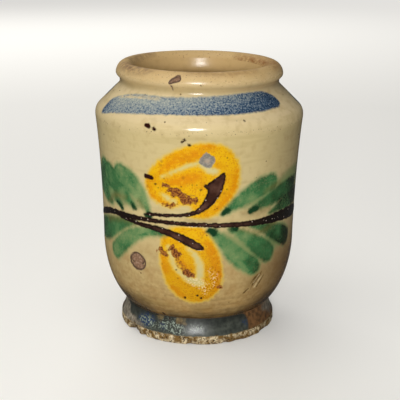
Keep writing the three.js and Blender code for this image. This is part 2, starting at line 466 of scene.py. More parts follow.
def stroke(x, y, points):
    """How far each place is from the edge of a brush stroke, less than nothing inside it, and how far
    along the stroke it is, from 0 to 1. The points are (across, up, half width)."""
    line = flowing(points)
    reach = FAR + line[:, 2].max()
    near = (x > line[:, 0].min() - reach) & (x < line[:, 0].max() + reach)
    near &= (y > line[:, 1].min() - reach) & (y < line[:, 1].max() + reach)
    px, py = x[near], y[near]
    best, along = np.full(len(px), FAR), np.zeros(len(px))
    for i, (a, b) in enumerate(zip(line, line[1:])):
        dx, dy, widening = b - a
        t = np.clip(((px - a[0]) * dx + (py - a[1]) * dy) / (dx**2 + dy**2 + 1e-9), 0, 1)
        gap = np.hypot(px - a[0] - t * dx, py - a[1] - t * dy) - a[2] - t * widening
        closer = gap < best
        best[closer] = gap[closer]
        along[closer] = (i + t[closer]) / (len(line) - 1)
    found = np.full(len(x), FAR), np.zeros(len(x))
    for whole, part in zip(found, (best, along)):
        whole[near] = part
    return found


def outlined(x, y, points):
    """How far each place is from a closed outline of (across, up) points, less than nothing inside."""
    line = flowing(points, closed=True)
    distance, _ = stroke(x, y, [(*p, 0) for p in points] + [(*points[0], 0)])
    inside = np.zeros(len(x), bool)
    for (ax, ay), (bx, by) in zip(line, line[1:]):
        crosses = (ay > y) != (by > y)
        inside ^= crosses & (x < ax + (y - ay) * (bx - ax) / (by - ay if by != ay else 1e-9))
    return np.where(inside, -np.abs(distance), np.abs(distance))


def strokes(x, y, many):
    """The distance to the nearest of many strokes."""
    return np.min([stroke(x, y, points)[0] for points in many], axis=0)


# Two lemons, one above the stem and one below, each a broad ring of yellow round a smaller lobe.
UPPER_LEMON = [
    (-28.5, 95), (-25, 102), (-18, 108.5), (-9, 114), (0, 116.7), (8, 116.5), (15, 113.5), (20, 107.5),
    (22, 100), (21, 92), (17, 84.2), (11.6, 79), (6.5, 76.4), (1, 75.8), (-4, 76.4), (-6, 77.8), (-3, 80),
    (-4.4, 82.4), (-9, 82.9), (-12, 81.4), (-19, 82), (-25, 85.5), (-28, 90),
]
LOWER_LEMON = [
    (-19, 67), (-20.5, 60), (-21, 53), (-19.5, 45), (-17, 37.5), (-12.5, 31.5), (-6, 28), (1, 27.5),
    (7.5, 30), (12.5, 35.5), (14, 42), (13.3, 50), (11.5, 58), (8, 65), (3, 71), (-6, 72), (-13, 71),
]
LEMON_GAPS = [
    [(-19, 97.8, 0.1), (-12, 101.3, 0.4), (-5, 104.6, 0.6), (1, 106.6, 0.8)],
    [(1.5, 105, 0.8), (5.5, 102.6, 1.6), (9, 101.2, 1.1)],
    [(-19.4, 88.8, 0.2), (-16.4, 86.8, 1.0), (-12.4, 85, 0.9)],
    [(-16, 60, 0.4), (-14.6, 55, 0.9), (-12.2, 49, 1.1), (-8, 44.4, 1.2), (-3, 41.3, 1.6), (2, 39.8, 1.6)],
    [(-6, 60, 0.5), (-1.4, 56, 1.2), (1, 50, 1.8), (1.2, 45, 1.8), (0, 41, 1.5)],
]

# Where the yellow came out thick: orange along the brush, brown crusts, and a patch of blisters, which
# is flecked with painted glare.
LEMON_ORANGE = [
    [(-19.6, 100.4, 0.6), (-14.6, 104.6, 2.0), (-8, 108.6, 2.8), (-1, 111, 2.4)],
    [(2, 114.6, 1.4), (7, 114.8, 1.6)],
    [(-26.4, 90.4, 1.2), (-25, 87, 1.8), (-20, 84, 1.4), (-14, 83.2, 1.0)],
    [(19.5, 101, 1.4), (19, 93, 2.0), (15, 86, 1.8), (10, 82, 1)],
    [(-14, 95, 2), (-7, 97, 3.0), (0, 99, 2.0)],
    [(-19, 54, 1.2), (-17.6, 46, 1.6)],
    [(-14, 36, 1.4), (-9, 31.6, 1.6)],
    [(5, 62, 1.8), (9.5, 54, 3.0), (12, 44, 2.6), (11.6, 37, 2.0)],
    [(-9, 52, 1.6), (-5, 47, 1.8)],
]
SCORCHES = [
    [(-17.6, 93.6, 0.8), (-15.8, 92.8, 1.0)],
    [(-14.6, 91.4, 1.2), (-11, 90, 2.2), (-8, 88, 1.6)],
    [(-9, 86.6, 1.2), (-5, 86, 2.2), (-2, 86.2, 1.2)],
    [(-19, 83.2, 0.4), (-14, 82.8, 0.7), (-11, 83.6, 0.6)],
    [(-13.6, 59.4, 1.4), (-11.8, 56.2, 2.0), (-10.4, 53, 0.7)],
    [(-10.8, 50.8, 0.3), (-7, 47.8, 0.9), (-4.8, 45.8, 1.9), (-3, 44.6, 1.2)],
    [(-20, 57.6, 1.7), (-18.6, 56, 1.6)],
    [(11.8, 39.6, 0.4), (13, 37, 0.7)],
]
LEMON_BLISTERS_AND_GLARE = [
    [(-6, 41.6, 1.0), (-1, 40.4, 2.4), (4, 37.6, 2.4), (4.6, 34, 1.2)],
    [(7, 47, 0.8), (9.4, 43, 1.4), (9, 38.6, 0.8)],
]

# Leaves, in strokes of a full brush that starts dark by the stem and swells to a round end. The first
# number is how strong the green is; the strongest, on the leaves furthest right, are partly painted shade.
# Knots are where the brush was first set down, and a thin wash fills the spaces between the leaves.
LEAVES = [
    (0.56, [(-27, 77.5, 1.8), (-29.5, 82, 3.4), (-33.5, 88, 5.2), (-39.5, 93, 6.6), (-46, 95, 6.6)]),
    (0.70, [(-36.5, 79, 1.6), (-41, 83, 3.4), (-47, 87.5, 5.8), (-53.5, 91, 7.0), (-58.5, 93, 7.0)]),
    (0.66, [(-46, 77.5, 1.8), (-51, 81, 3.8), (-57, 86.5, 6.4), (-62, 92.5, 7.4), (-64, 94.5, 7.0)]),
    (0.90, [(-56, 77.5, 2.4), (-63, 81, 5.2), (-70, 86, 7.4), (-78, 89, 6.0)]),
    (0.62, [(-19, 68.2, 1.8), (-28, 66.6, 3.2), (-38, 62.6, 4.8), (-47, 56, 5.6), (-53, 50.6, 5.6)]),
    (0.80, [(-18, 67, 1.8), (-23, 66.2, 2.2), (-29, 65, 1.6), (-35, 63.2, 0.4)]),
    (0.88, [(-34, 70.4, 1.2), (-46, 67.8, 3.8), (-56, 63.6, 6.0), (-66, 60, 7.0), (-76, 57.5, 5.4)]),
    (0.74, [(13.5, 79, 2.0), (18, 82, 3.2), (26, 86.6, 5.0), (34, 90.4, 6.0), (42, 92, 5.8)]),
    (1.15, [(29.5, 78.8, 2.0), (36, 81, 3.2), (46, 83.8, 5.2), (57, 85.6, 5.8), (67, 86.6, 5.0)]),
    (0.58, [(6.5, 69.4, 2.2), (10.5, 66, 3.2), (16.5, 59.6, 4.9), (23.5, 52.6, 5.8), (32, 46.6, 5.6)]),
    (1.05, [(26, 51, 1.5), (31, 47.6, 3.6), (33.6, 45.8, 3.6)]),
    (0.90, [(17, 70, 1.8), (24.5, 65.6, 3.6), (32.5, 60, 5.4), (39.5, 54.6, 6.2), (42, 52.6, 6.0)]),
    (1.25, [(29, 70.2, 1.6), (38.5, 67.4, 3.6), (48, 63.2, 5.6), (55.5, 59.8, 6.2), (58.5, 58.2, 6.0)]),
    (1.40, [(42, 75, 1.4), (51, 77.2, 3.8), (60, 78.6, 5.6), (70, 79, 5.8), (78, 78.6, 3.4)]),
]
KNOTS = [
    [(-28.6, 75.4, 1.2), (-26.8, 76, 1.6), (-26.2, 74, 1.1)],
    [(-38.8, 80.6, 0.7), (-36, 78.2, 1.2)],
    [(-50, 79.2, 0.9), (-46, 76.2, 1.2)],
    [(13.2, 78.9, 1.1), (15.4, 80.2, 1.4)],
    [(28.8, 78.3, 1.3), (32.4, 79.4, 1.6)],
    [(5.8, 69.6, 1.3), (8.4, 68.4, 1.8)],
    [(17.8, 70.2, 0.9), (20.6, 69.4, 1.2)],
]
STAINS = [
    [(-60, 76.6, 0.6), (-52, 82, 1.6), (-43, 83, 0.8)],
    [(-62, 66.5, 1.2), (-48, 69.6, 1.0), (-36, 69.4, 0.4)],
    [(24, 77.4, 0.6), (34, 76.8, 1.2), (42, 77.6, 0.8)],
    [(38, 87.6, 0.3), (44, 89.6, 0.9), (50, 91, 0.3)],
    # This one only darkens the yellow between the stem and the horn.
    [(-6, 75, 0.3), (2, 74.6, 0.7), (10, 75, 0.3)],
    [(22, 69.6, 0.4), (36, 65.6, 0.8), (48, 69, 0.6)],
    [(-30, 79.6, 0.6), (-33, 82.4, 0.8)],
    [(-40, 24.8, 0.5), (-30, 24.4, 0.9), (-18, 24.6, 0.5)],
    [(-3, 23.2, 0.4), (3, 22.8, 0.7), (9, 23, 0.4)],
    [(30, 35, 0.6), (34, 38.6, 1.8), (38, 41, 1.0)],
]
WASHES = [
    [(-34, 80, 2), (-46, 86, 8), (-60, 91, 9), (-76, 88, 8)],
    [(-40, 69.5, 2), (-56, 63, 6), (-70, 59, 7)],
    [(20, 81, 1), (34, 84, 4), (48, 87, 6), (60, 90, 7), (72, 91, 6)],
    [(14, 67, 2), (29, 57, 5), (40, 57, 6), (54, 61, 6)],
]

# The stem that runs round the wall, the stalk of the lower lemon, and the horn of the upper one, which
# the brush left with a slanting end.
STEMS = [
    [
        (-83, 63.8, 0.3), (-75, 67, 1.5), (-66, 69.9, 1.9), (-58, 71.8, 1.7), (-48, 72.8, 1.5),
        (-40, 73.2, 1.4), (-20, 73.3, 1.2), (0, 72.8, 1.2), (18, 72, 1.4), (30, 71.5, 1.7),
        (40, 71.4, 2.2), (52, 71.4, 3.0), (66, 70.6, 3.5), (76, 69.4, 2.4), (84, 68, 0.3),
    ],
    [
        (-54, 71.6, 0.5), (-44, 71, 0.9), (-35, 70.3, 1.2), (-28, 69.7, 1.4), (-22, 69, 1.7),
        (-16, 67.8, 2.0), (-10, 65.6, 2.3), (-4, 62.7, 2.4), (0.6, 60.5, 1.9), (2.8, 59.5, 0.8),
    ],
]
HORN = [
    [
        (-29, 76.3, 0.7), (-22, 76.8, 1.0), (-15, 77.2, 1.0), (-6, 78.1, 1.1), (-1, 79.7, 1.4),
        (3, 82.6, 2.1), (6.4, 87, 3.0), (8.5, 92, 3.8), (9.3, 97, 4.4), (9.3, 103, 4.4),
    ],
    [(7, 92.4, 1.8), (3.9, 93.9, 1.1)],
]
HORN_CUT = ((2.6, 94.0), (12.8, 101.0))
HORN_WAIST = 86.0
SPRAY_LAYERS = {
    "lemon_orange": LEMON_ORANGE, "scorch": SCORCHES, "blister_and_glare": LEMON_BLISTERS_AND_GLARE,
    "wash": WASHES, "stain": STAINS, "knot": KNOTS,
}
WET_RIM = 1.2
LEAF_EDGE = (1.92, -1.28)


def spray(x, y):
    """One painted spray, as distances from the edges of its strokes, and how deep the leaves' green is."""
    lemons = np.minimum(outlined(x, y, UPPER_LEMON), outlined(x, y, LOWER_LEMON))
    layers = {layer: strokes(x, y, many) for layer, many in SPRAY_LAYERS.items()}
    layers["lemon_wash"] = lemons
    layers["lemon"] = np.maximum(lemons, -strokes(x, y, LEMON_GAPS))
    layers["leaf"] = np.full(len(x), FAR)
    layers["leaf_depth"] = np.zeros(len(x))
    for strength, points in LEAVES:
        distance, along = stroke(x, y, points)
        loaded = fade(along, 0.3, 0)
        pooled = fade(along, 0.4, 0.95)
        wet_edge = fade(np.abs(distance + WET_RIM), WET_RIM, 0) * pooled
        depth = strength * (0.7 + 0.3 * pooled) + max(1 - strength, 0) * loaded + 0.18 * wet_edge
        depth *= fade(distance, *LEAF_EDGE)
        top = depth > layers["leaf_depth"]
        layers["leaf_depth"][top] = depth[top]
        layers["leaf"] = np.minimum(layers["leaf"], distance)
    (ax, ay), (bx, by) = HORN_CUT
    past_cut = ((bx - ax) * (y - ay) - (by - ay) * (x - ax)) / math.dist(*HORN_CUT)
    past_cut = np.where(y > HORN_WAIST, past_cut, -FAR)
    layers["stem"] = np.minimum(strokes(x, y, STEMS), np.maximum(strokes(x, y, HORN), past_cut))
    return layers


# The back has the same spray, brushed afresh the other way round. It sways by these sizes, each with the
# length it sways over and a shift, so nothing falls in the same place.
SWAY, SWAY_OVER, SWAY_SHIFT = 2.2, 13.0, 1.2
LILT, LILT_OVER, LILT_SHIFT = 1.6, 19.0, -1.0
behind = ROUND / 2 - (across + ROUND) % ROUND + SWAY * np.sin(up / SWAY_OVER) + SWAY_SHIFT
behind_up = up + LILT * np.sin(behind / LILT_OVER) + LILT_SHIFT
front = spray(across, up)
back = spray(behind, behind_up)
painted = {layer: np.where(np.abs(across) < ROUND / 4, front[layer], back[layer]) for layer in front}

# Cobalt: three strokes round the shoulder, each as its middle and how much it is squeezed. They are thin
# where the brush starts, but for its tip and a line along the top, and loaded along the bottom and at the
# end. A bristle left a bare line in the first.
FRONT_BAND = [
    (-65, 131.6), (-60, 133.6), (-51, 135.8), (-40, 137), (-20, 137.3), (0, 137.9), (20, 138.6),
    (38, 138.9), (48, 138.1), (54, 135.8), (55.6, 132.8), (53, 130.9), (45, 130.3), (20, 129.9),
    (-10, 129.8), (-30, 128.9), (-42, 127.9), (-52, 126.7), (-59, 125.4), (-62.5, 125), (-64.5, 127.8),
]
BAND_STROKES = [(0, 1.0), (131, 1.35), (-124, 1.35)]
BAND_ENDS = (-65, 56)
BAND_TIP = (-57, -63)
TOP_LINE_END = -14
BAND_MIDDLE = 134.0
BAND_TILT = 1 / 30
BAND_WIDTH = 8.0
BRISTLE_LINE = [
    (-57, 133.8, 0.2), (-48, 135, 0.35), (-40, 135.6, 0.4), (-31, 135.8, 0.3), (-24, 135.9, 0.1),
]
painted["band"] = np.full(len(across), FAR)
painted["band_depth"] = np.zeros(len(across))
for centre, shortening in BAND_STROKES:
    x = ((across - centre + ROUND / 2) % ROUND - ROUND / 2) * shortening
    distance = outlined(x, up, FRONT_BAND)
    loaded = fade(x, *BAND_ENDS) ** 1.4
    sunk = np.clip((BAND_MIDDLE + BAND_TILT * x - up) / BAND_WIDTH, -0.5, 0.5) * (1 - 0.6 * loaded)
    top_line = fade(np.abs(distance + 0.5), 0.9, 0) * (x < TOP_LINE_END) * (up > BAND_MIDDLE)
    depth = loaded + 0.7 * sunk + 0.5 * (fade(x, *BAND_TIP) + top_line)
    painted["band"] = np.minimum(painted["band"], distance)
    painted["band_depth"] = np.where(distance < 3, depth, painted["band_depth"])
painted["band"] = np.maximum(painted["band"], -stroke(across, up, BRISTLE_LINE)[0])

# The foot has strokes of the same blue, gone to slate, with clusters of smalt and pale crystals in it,
# tan patches where the glaze ran off, and pale, chalky patches at its sides.
FOOT_STROKES = [
    [(-78, 9, 6), (-30, 9, 6), (0, 9, 6), (34, 9, 6)],
    [(92, 9, 5), (110, 9, 6), (136, 9, 6)],
    [(-160, 9, 6), (-130, 9, 6), (-100, 9, 5)],
]
FOOT_SMALT = [
    [(-47, 9, 2), (-41, 9.5, 3.4), (-35, 10.5, 2)],
    [(35, 10, 0.4), (38, 9, 1.0)],
    [(-27, 9, 0.6), (-24, 8.6, 0.8)],
    [(110, 9, 3), (122, 9, 3)],
    [(-140, 9, 3), (-126, 9, 2)],
]
FOOT_CRYSTALS = [
    [(-46, 9, 1.4), (-38, 9, 2.4), (-32, 8, 1)],
    [(-27, 9.5, 2), (-18, 9.5, 3.8), (-11, 7, 2)],
    [(-4, 9.5, 0.7), (3, 9, 0.7)],
    [(92, 8, 2), (101, 8, 3)],
    [(-112, 8, 3), (-99, 8, 2)],
]
FOOT_TANS = [
    [(-31, 13.8, 0.4), (-27.6, 13, 1.2), (-24.6, 14.6, 0.6)],
    [(-14, 12.6, 0.2), (-9.5, 11.6, 1.0)],
    [(127, 14, 2), (131, 12, 2)],
    [(-92, 14, 2), (-88, 12.5, 1.8)],
]
FOOT_PALE_SIDES = [
    [(-90, 11, 3), (-76, 10, 4.5), (-66, 7.6, 3.0), (-56, 6.6, 1.6), (-46, 6.2, 1.6), (-40, 5.8, 0.6)],
    [(60, 12.6, 0.6), (68, 10.6, 2.0), (84, 9, 4.0)],
]

# Marks of age: glaze lifted off to the clay, one grey flake, dark kiln spots, and scratches. Pale lines
# beside the scratches are a painted highlight on their raised edges.
LIFTED = [
    [(-35.6, 48.7, 5.0), (-34.4, 48.3, 5.0)],
    [(-18.4, 144.8, 0.8), (-16.4, 145.9, 1.4), (-14.2, 146.7, 1.8), (-13.2, 147, 1.8)],
    [(-17.4, 143.2, 0.5), (-17.2, 142.2, 0.3), (-17, 140.2, 0.1)],
    [(123, 40, 2.6), (126, 41.5, 2.2)],
    [(-141, 147, 1.0), (-136, 148.2, 1.4), (-131, 147.4, 0.9)],
]
FLAKE = [(3.8, 112), (8.2, 108.2), (5.4, 103.4), (0.2, 106.6)]
KILN_SPOTS = [
    [(-27.6, 97.3, 1.35), (-24.7, 96.8, 1.3)],
    [(-26.7, 124.3, 1.0), (-25.2, 124, 1.3)],
    [(-22.4, 123.1, 1.0), (-21.8, 122.7, 1.0)],
    [(-7.2, 118.8, 0.5), (-6.7, 118, 0.6)],
    [(-8.3, 116.8, 0.5), (-7.8, 117.2, 0.5)],
    [(-5, 115.8, 0.7), (-4.2, 115.5, 0.7)],
    [(-22.6, 93.6, 0.6), (-22.3, 93.4, 0.6)],
    [(-21, 91.8, 0.6), (-20.8, 91.6, 0.5)],
    [(-7.2, 30.6, 0.7), (-6.9, 30.4, 0.7)],
    [(-0.2, 32.2, 0.6), (0.2, 32, 0.6)],
    [(2, 30.7, 0.7), (2.3, 30.4, 0.7)],
    [(-24.6, 16.6, 0.9), (-24.2, 16.2, 0.9)],
    [(-21, 13.6, 0.7), (-20.6, 13.2, 0.8)],
    [(0.6, 144.2, 0.2), (1.4, 143.7, 0.3)],
    [(19, 127.4, 0.2), (19.6, 127.2, 0.2)],
    [(-3.4, 94.4, 0.3), (-3, 94.2, 0.3)],
    [(0.2, 92.2, 0.3), (1.6, 92, 0.4)],
    [(14.6, 91.8, 0.3), (15, 91.4, 0.3)],
    [(-12, 47.4, 0.3), (-11.6, 47.2, 0.4)],
    [(-34, 82.6, 0.2), (-33.6, 82.4, 0.2)],
    [(23, 127, 0.4), (23.4, 126.8, 0.4)],
    [(118, 103, 0.8), (119, 102.6, 0.7)],
    [(-150, 128, 0.9), (-149, 127.4, 0.8)],
]
SCRATCHES = [
    [(39, 42.8, 0.2), (36, 38.6, 0.6), (33.5, 35.6, 0.5), (32.6, 32.4, 0.2)],
    [(36.6, 41.8, 0.2), (34, 39.4, 0.5), (31.8, 36.6, 0.2)],
    [(31, 33.6, 0.2), (29, 32, 0.5), (27.4, 30.6, 0.2)],
    [(41, 40.4, 0.2), (38.6, 36.4, 0.4), (36.6, 33, 0.2)],
    [(37.6, 57.4, 0.2), (39, 56, 0.3)],
]
SCRATCH_GLINTS = [
    [(39.8, 40.8, 0.2), (37.3, 37.4, 0.5), (34.8, 33.6, 0.3)],
    [(37.4, 41.2, 0.2), (35.2, 38, 0.3), (33.8, 36.4, 0.2)],
]
RIM_WEAR = [
    [(-74, 149.8, 1.6), (-58, 149.4, 2.6), (-42, 148.8, 2.0), (-32, 149.6, 0.6)],
    [(-8, 149.8, 0.3), (8, 149.4, 0.7), (26, 149.2, 0.6), (44, 149.6, 0.5)],
    [(62, 149.4, 1.2), (82, 150.8, 2.4), (104, 152.6, 3.0), (124, 153, 2.8), (140, 152.4, 1.6)],
    [(-132, 150.4, 1.0), (-110, 151, 1.6), (-92, 150.6, 1.0)],
]
MARKS = {
    "foot_blue": FOOT_STROKES, "foot_smalt": FOOT_SMALT, "foot_crystal": FOOT_CRYSTALS,
    "foot_tan": FOOT_TANS, "foot_pale_side": FOOT_PALE_SIDES, "lifted": LIFTED, "spot": KILN_SPOTS,
    "scratch": SCRATCHES, "scratch_glint": SCRATCH_GLINTS, "worn": RIM_WEAR,
}
for layer, many in MARKS.items():
    painted[layer] = strokes(across, up, many)
painted["flake"] = outlined(across, up, FLAKE)
painted["rise"] = up

# The manganese stands up in a low ridge, lifted glaze is a shallow pit and scratches are cut in. For each
# layer: how far it stands out, and how far outside its edge that starts.
RELIEF = {"stem": (0.16, 0.5), "lifted": (-0.4, 0.3), "flake": (-0.2, 0.3), "scratch": (-0.2, 0.5)}
over_crest = fade(radius, CREST[0], MOUTH[0]) * (height > NECK[1])
radius = radius + out_of_true(angle, height) - swell(angle) * over_crest
put_back(outer, angle, radius, height + rise(angle, height))
normals = np.empty(len(angle) * 3)
outer.data.vertices.foreach_get("normal", normals)
relief = sum(out * fade(painted[layer], start, start - 1) for layer, (out, start) in RELIEF.items())
co = np.empty(len(angle) * 3)
outer.data.vertices.foreach_get("co", co)
outer.data.vertices.foreach_set("co", co + normals * np.repeat(relief, 3) * MM)
outer.data.update()
for layer, values in painted.items():
    held = outer.data.attributes.new(layer, "FLOAT", "POINT")
    held.data.foreach_set("value", values.astype(np.float32))


def edge_of(tree, layer, ragged, inset, soft):
    """How fully a layer covers the skin: 1 inside its edge moved in by inset, fading out over soft, with
    the edge shaken by a ragged pattern. All are mm, the pattern's swing included."""
    distance = add(tree, "Attribute", {}, out="Fac", attribute_name=layer)
    shaken = add(tree, "Math", {0: distance, 1: ragged}, operation="ADD")
    sockets = {"Value": shaken, "From Min": soft - inset, "From Max": -soft - inset}
    return add(tree, "MapRange", sockets, interpolation_type="SMOOTHSTEP")


# To the eye: warm cream with a soft gleam, faint level lines, browner low down with dirt and painted shade,
# strong flat colours sunk into it, and thick brown lines that stand on it. Heights along the skin are in
# mm.
WALL_TONE = {"low": "#bc9b61", "wall": "#d3bf8a", "high": "#e1cb9c", "thin": "#b2935e"}
CORNER = 121.3
material, tree, shader = finish_of("tin glaze, dipped, painted with oxides")
place = add(tree, "TexCoord", {}, out="Object")
to_right = add(tree, "SeparateXYZ", {0: place}, out="X")
aside = add(tree, "Math", {0: to_right}, operation="ABSOLUTE")
at = add(tree, "Attribute", {}, out="Fac", attribute_name="rise")

# Patterns that the pigments share: brush drag of about 2 mm, pools of 7 mm, grains of oxide of about
# 0.9 mm, and level streaks that follow the throwing lines.
drag = add(tree, "TexNoise", {"Vector": place, "Scale": 1 / (2.2 * MM), "Detail": 3})
ragged = add(tree, "MapRange", {"Value": drag, "To Min": -1.3, "To Max": 1.3})
crumbled = add(tree, "MapRange", {"Value": drag, "To Min": -0.65, "To Max": 0.65})
pool = add(tree, "TexNoise", {"Vector": place, "Scale": 1 / (7 * MM), "Detail": 3})
grain = add(tree, "TexNoise", {"Vector": place, "Scale": 1 / (0.9 * MM), "Detail": 1})
level = add(tree, "Mapping", {"Vector": place, "Scale": (0.12, 0.12, 1)})
streak = add(tree, "TexNoise", {"Vector": level, "Scale": 1 / (2.6 * MM), "Detail": 3})

# Dirt: faint level lines, a brown blush, patches and streaks low on the body, and dots where the
# shoulder's corner is worn. Painted shade darkens the right of the lower body and of the wall below the
# shoulder's corner, the neck under the rim, more so on the right, and the crease over the foot.
lines = add(tree, "MapRange", {"Value": streak, "From Min": 0.52, "From Max": 0.75, "To Max": 0.3})
blush = add(tree, "MapRange", {"Value": at, "From Min": 62, "From Max": 26, "To Max": 0.42})
blotch = add(tree, "MapRange", {"Value": drag, "From Min": 0.4, "From Max": 0.66})
patch = add(tree, "MapRange", {"Value": pool, "From Min": 0.48, "From Max": 0.68, "To Max": 0.35})
under = add(tree, "MapRange", {"Value": at, "From Min": 66, "From Max": 44})
# Painted shade: the lower body grows darker towards the right.
right_shade = add(tree, "MapRange", {"Value": to_right, "From Min": 20 * MM, "From Max": 48 * MM, "To Max": 0.8})
# Painted shade: the wall below the shoulder's corner grows darker towards the right.
wall_right_shade = add(tree, "MapRange", {"Value": to_right, "From Min": 28 * MM, "From Max": 47 * MM})
below = add(tree, "MapRange", {"Value": at, "From Min": 123, "From Max": 118, "To Max": 0.26})
streaked = add(tree, "MapRange", {"Value": streak, "From Min": 0.46, "From Max": 0.68, "To Max": 0.55})
low = add(tree, "MapRange", {"Value": at, "From Min": 40, "From Max": 17})
flank = add(tree, "MapRange", {"Value": aside, "From Min": 20 * MM, "From Max": 38 * MM, "To Max": 7.0})
# Painted shade in the crease over the foot, reaching higher towards the sides.
crease_shade = add(tree, "Math", {0: pool, 1: 9.0, 2: at}, operation="MULTIPLY_ADD")
crease_shade = add(tree, "Math", {0: crease_shade, 1: flank}, operation="SUBTRACT")
crease_shade = add(tree, "MapRange", {"Value": crease_shade, "From Min": 28, "From Max": 18, "To Max": 0.9})
# Painted shade in the neck under the rim, browner towards the right.
neck = add(tree, "Math", {0: at, 1: NECK[1]}, operation="SUBTRACT")
neck = add(tree, "Math", {0: neck}, operation="ABSOLUTE")
neck = add(tree, "MapRange", {"Value": neck, "From Min": 3.2, "From Max": 0.8, "To Max": 0.6})
rightward_shade = add(tree, "MapRange", {"Value": to_right, "From Min": 8 * MM, "From Max": 44 * MM})
neck_shade = laid_on(tree, "#a58d5a", [("#765a33", rightward_shade)])
dotted = add(tree, "MapRange", {"Value": grain, "From Min": 0.66, "From Max": 0.72, "To Max": 0.7})
corner = add(tree, "Math", {0: at, 1: CORNER, 2: 1.2}, operation="COMPARE")
coats = [
    ("#b39a63", lines), ("#8f6c3c", blush, blotch), ("#a0743c", patch, under), ("#6c4a24", right_shade, under),
    ("#6c5a3c", wall_right_shade, below), ("#6d5030", streaked, low), ("#3b2b19", crease_shade), (neck_shade, neck),
    ("#5b4326", dotted, corner),
]
colour = laid_on(tree, tin_glaze(tree, place, WALL_TONE), coats)

# The rim is tanned by use, peppered with dirt, and rubbed brown along its crest.
lip = add(tree, "Math", {0: pool, 1: 7.0, 2: at}, operation="MULTIPLY_ADD")
tanned = add(tree, "MapRange", {"Value": lip, "From Min": 142.5, "From Max": 152.5})
peppered = add(tree, "MapRange", {"Value": grain, "From Min": 0.64, "From Max": 0.72, "To Max": 0.6})
peppered = add(tree, "Math", {0: peppered, 1: tanned}, operation="MULTIPLY")
rubs = add(tree, "MapRange", {"Value": drag, "From Min": 0.3, "From Max": 0.64, "To Max": 0.95})
worn = edge_of(tree, "worn", ragged, 0.2, 2.4)
worn = add(tree, "Math", {0: worn, 1: rubs}, operation="MULTIPLY")
worn = add(tree, "Math", {0: worn, 1: peppered}, operation="MAXIMUM")
warmer = add(tree, "MapRange", {"Value": to_right, "From Min": -20 * MM, "From Max": 30 * MM})
rubbed = laid_on(tree, "#7c5c42", [("#8c5a28", warmer)])
colour = laid_on(tree, colour, [("#cfae77", tanned), (rubbed, worn)])

# Antimony yellow, with a pale fringe where it bled, orange where it lies thick, scorched in brown crusts,
# browner low down as painted shade, and flecked pale with painted glare in a patch of blisters.
thick = edge_of(tree, "lemon_orange", ragged, 0.0, 2.4)
hot = add(tree, "MapRange", {"Value": pool, "From Min": 0.48, "From Max": 0.7, "To Max": 0.75})
patchy = add(tree, "MapRange", {"Value": drag, "From Min": 0.52, "From Max": 0.7, "To Max": 0.7})
pitted = add(tree, "MapRange", {"Value": grain, "From Min": 0.54, "From Max": 0.66, "To Max": 0.65})
dots = add(tree, "TexVoronoi", {"Vector": place, "Scale": 1 / (4.5 * MM)})
dots = add(tree, "MapRange", {"Value": dots, "From Min": 0.13, "From Max": 0.08, "To Max": 0.65})
freckles = add(tree, "TexVoronoi", {"Vector": place, "Scale": 1 / (8 * MM)})
freckles = add(tree, "MapRange", {"Value": freckles, "From Min": 0.15, "From Max": 0.06, "To Max": 0.6})
burnt = add(tree, "MapRange", {"Value": grain, "From Min": 0.48, "From Max": 0.36, "To Max": 0.8})
hotter = add(tree, "MapRange", {"Value": to_right, "From Min": -14 * MM, "From Max": 4 * MM, "To Min": 0.2})
# Painted shade: the yellow is browner low on the body.
coats = [
    ("#e29200", thick), ("#dc9200", hot), ("#efbc14", patchy), ("#d68208", pitted), ("#7a3f0c", dots),
    ("#b97c14", under, 0.35), ("#b0680c", freckles), ("#b05c0c", burnt, under, hotter),
]
yellow = laid_on(tree, "#ebb404", coats)
lumpy = add(tree, "MapRange", {"Value": drag, "To Min": -3.0, "To Max": 3.0})
holed = add(tree, "MapRange", {"Value": grain, "From Min": 0.34, "From Max": 0.46, "To Min": 0.8})
charred = add(tree, "MapRange", {"Value": grain, "From Min": 0.46, "From Max": 0.62})
crust = laid_on(tree, "#985a29", [("#623218", charred)])
# Painted glare: pale flecks in the patch of blisters.
glare_flecks = add(tree, "MapRange", {"Value": grain, "From Min": 0.52, "From Max": 0.64, "To Max": 0.85})
washed = edge_of(tree, "lemon_wash", ragged, 0.4, 1.6)
fringe = edge_of(tree, "lemon", ragged, -0.3, 1.3)
covered = edge_of(tree, "lemon", ragged, 0.7, 1.1)
scorched = edge_of(tree, "scorch", lumpy, -0.3, 0.6)
blistered_glare = edge_of(tree, "blister_and_glare", ragged, 0.0, 1.6)
coats = [
    ("#d8ca8c", washed, 0.75), ("#e3bb2c", fringe, 0.8), (yellow, covered), (crust, scorched, holed),
    ("#f0deb0", blistered_glare, glare_flecks),
]
colour = laid_on(tree, colour, coats)

# Copper green, a watery wash that is dark where the brush was full, and darkest in the knots.
leaf_depth = add(tree, "Attribute", {}, out="Fac", attribute_name="leaf_depth")
swirl = add(tree, "Math", {0: pool, 1: 1.1, 2: leaf_depth}, operation="MULTIPLY_ADD")
fuller = add(tree, "MapRange", {"Value": swirl, "From Min": 0.75, "From Max": 1.2})
deepest = add(tree, "MapRange", {"Value": swirl, "From Min": 1.15, "From Max": 1.75})
green = laid_on(tree, "#8aa067", [("#437a48", fuller), ("#132a12", deepest)])
sparing = {"Value": grain, "From Min": 0.5, "From Max": 0.7, "To Min": 1.0, "To Max": 0.88}
dusty = add(tree, "MapRange", sparing)
bled = edge_of(tree, "wash", ragged, 0.5, 2.6)
wet = edge_of(tree, "leaf", ragged, 0.3, 1.9)
stained = edge_of(tree, "stain", ragged, 0.0, 2.6)
knotted = edge_of(tree, "knot", ragged, -0.2, 0.8)
coats = [("#6f8450", bled, 0.75), (green, wet, dusty), ("#7d6330", stained, 0.55), ("#163d21", knotted)]
colour = laid_on(tree, colour, coats)

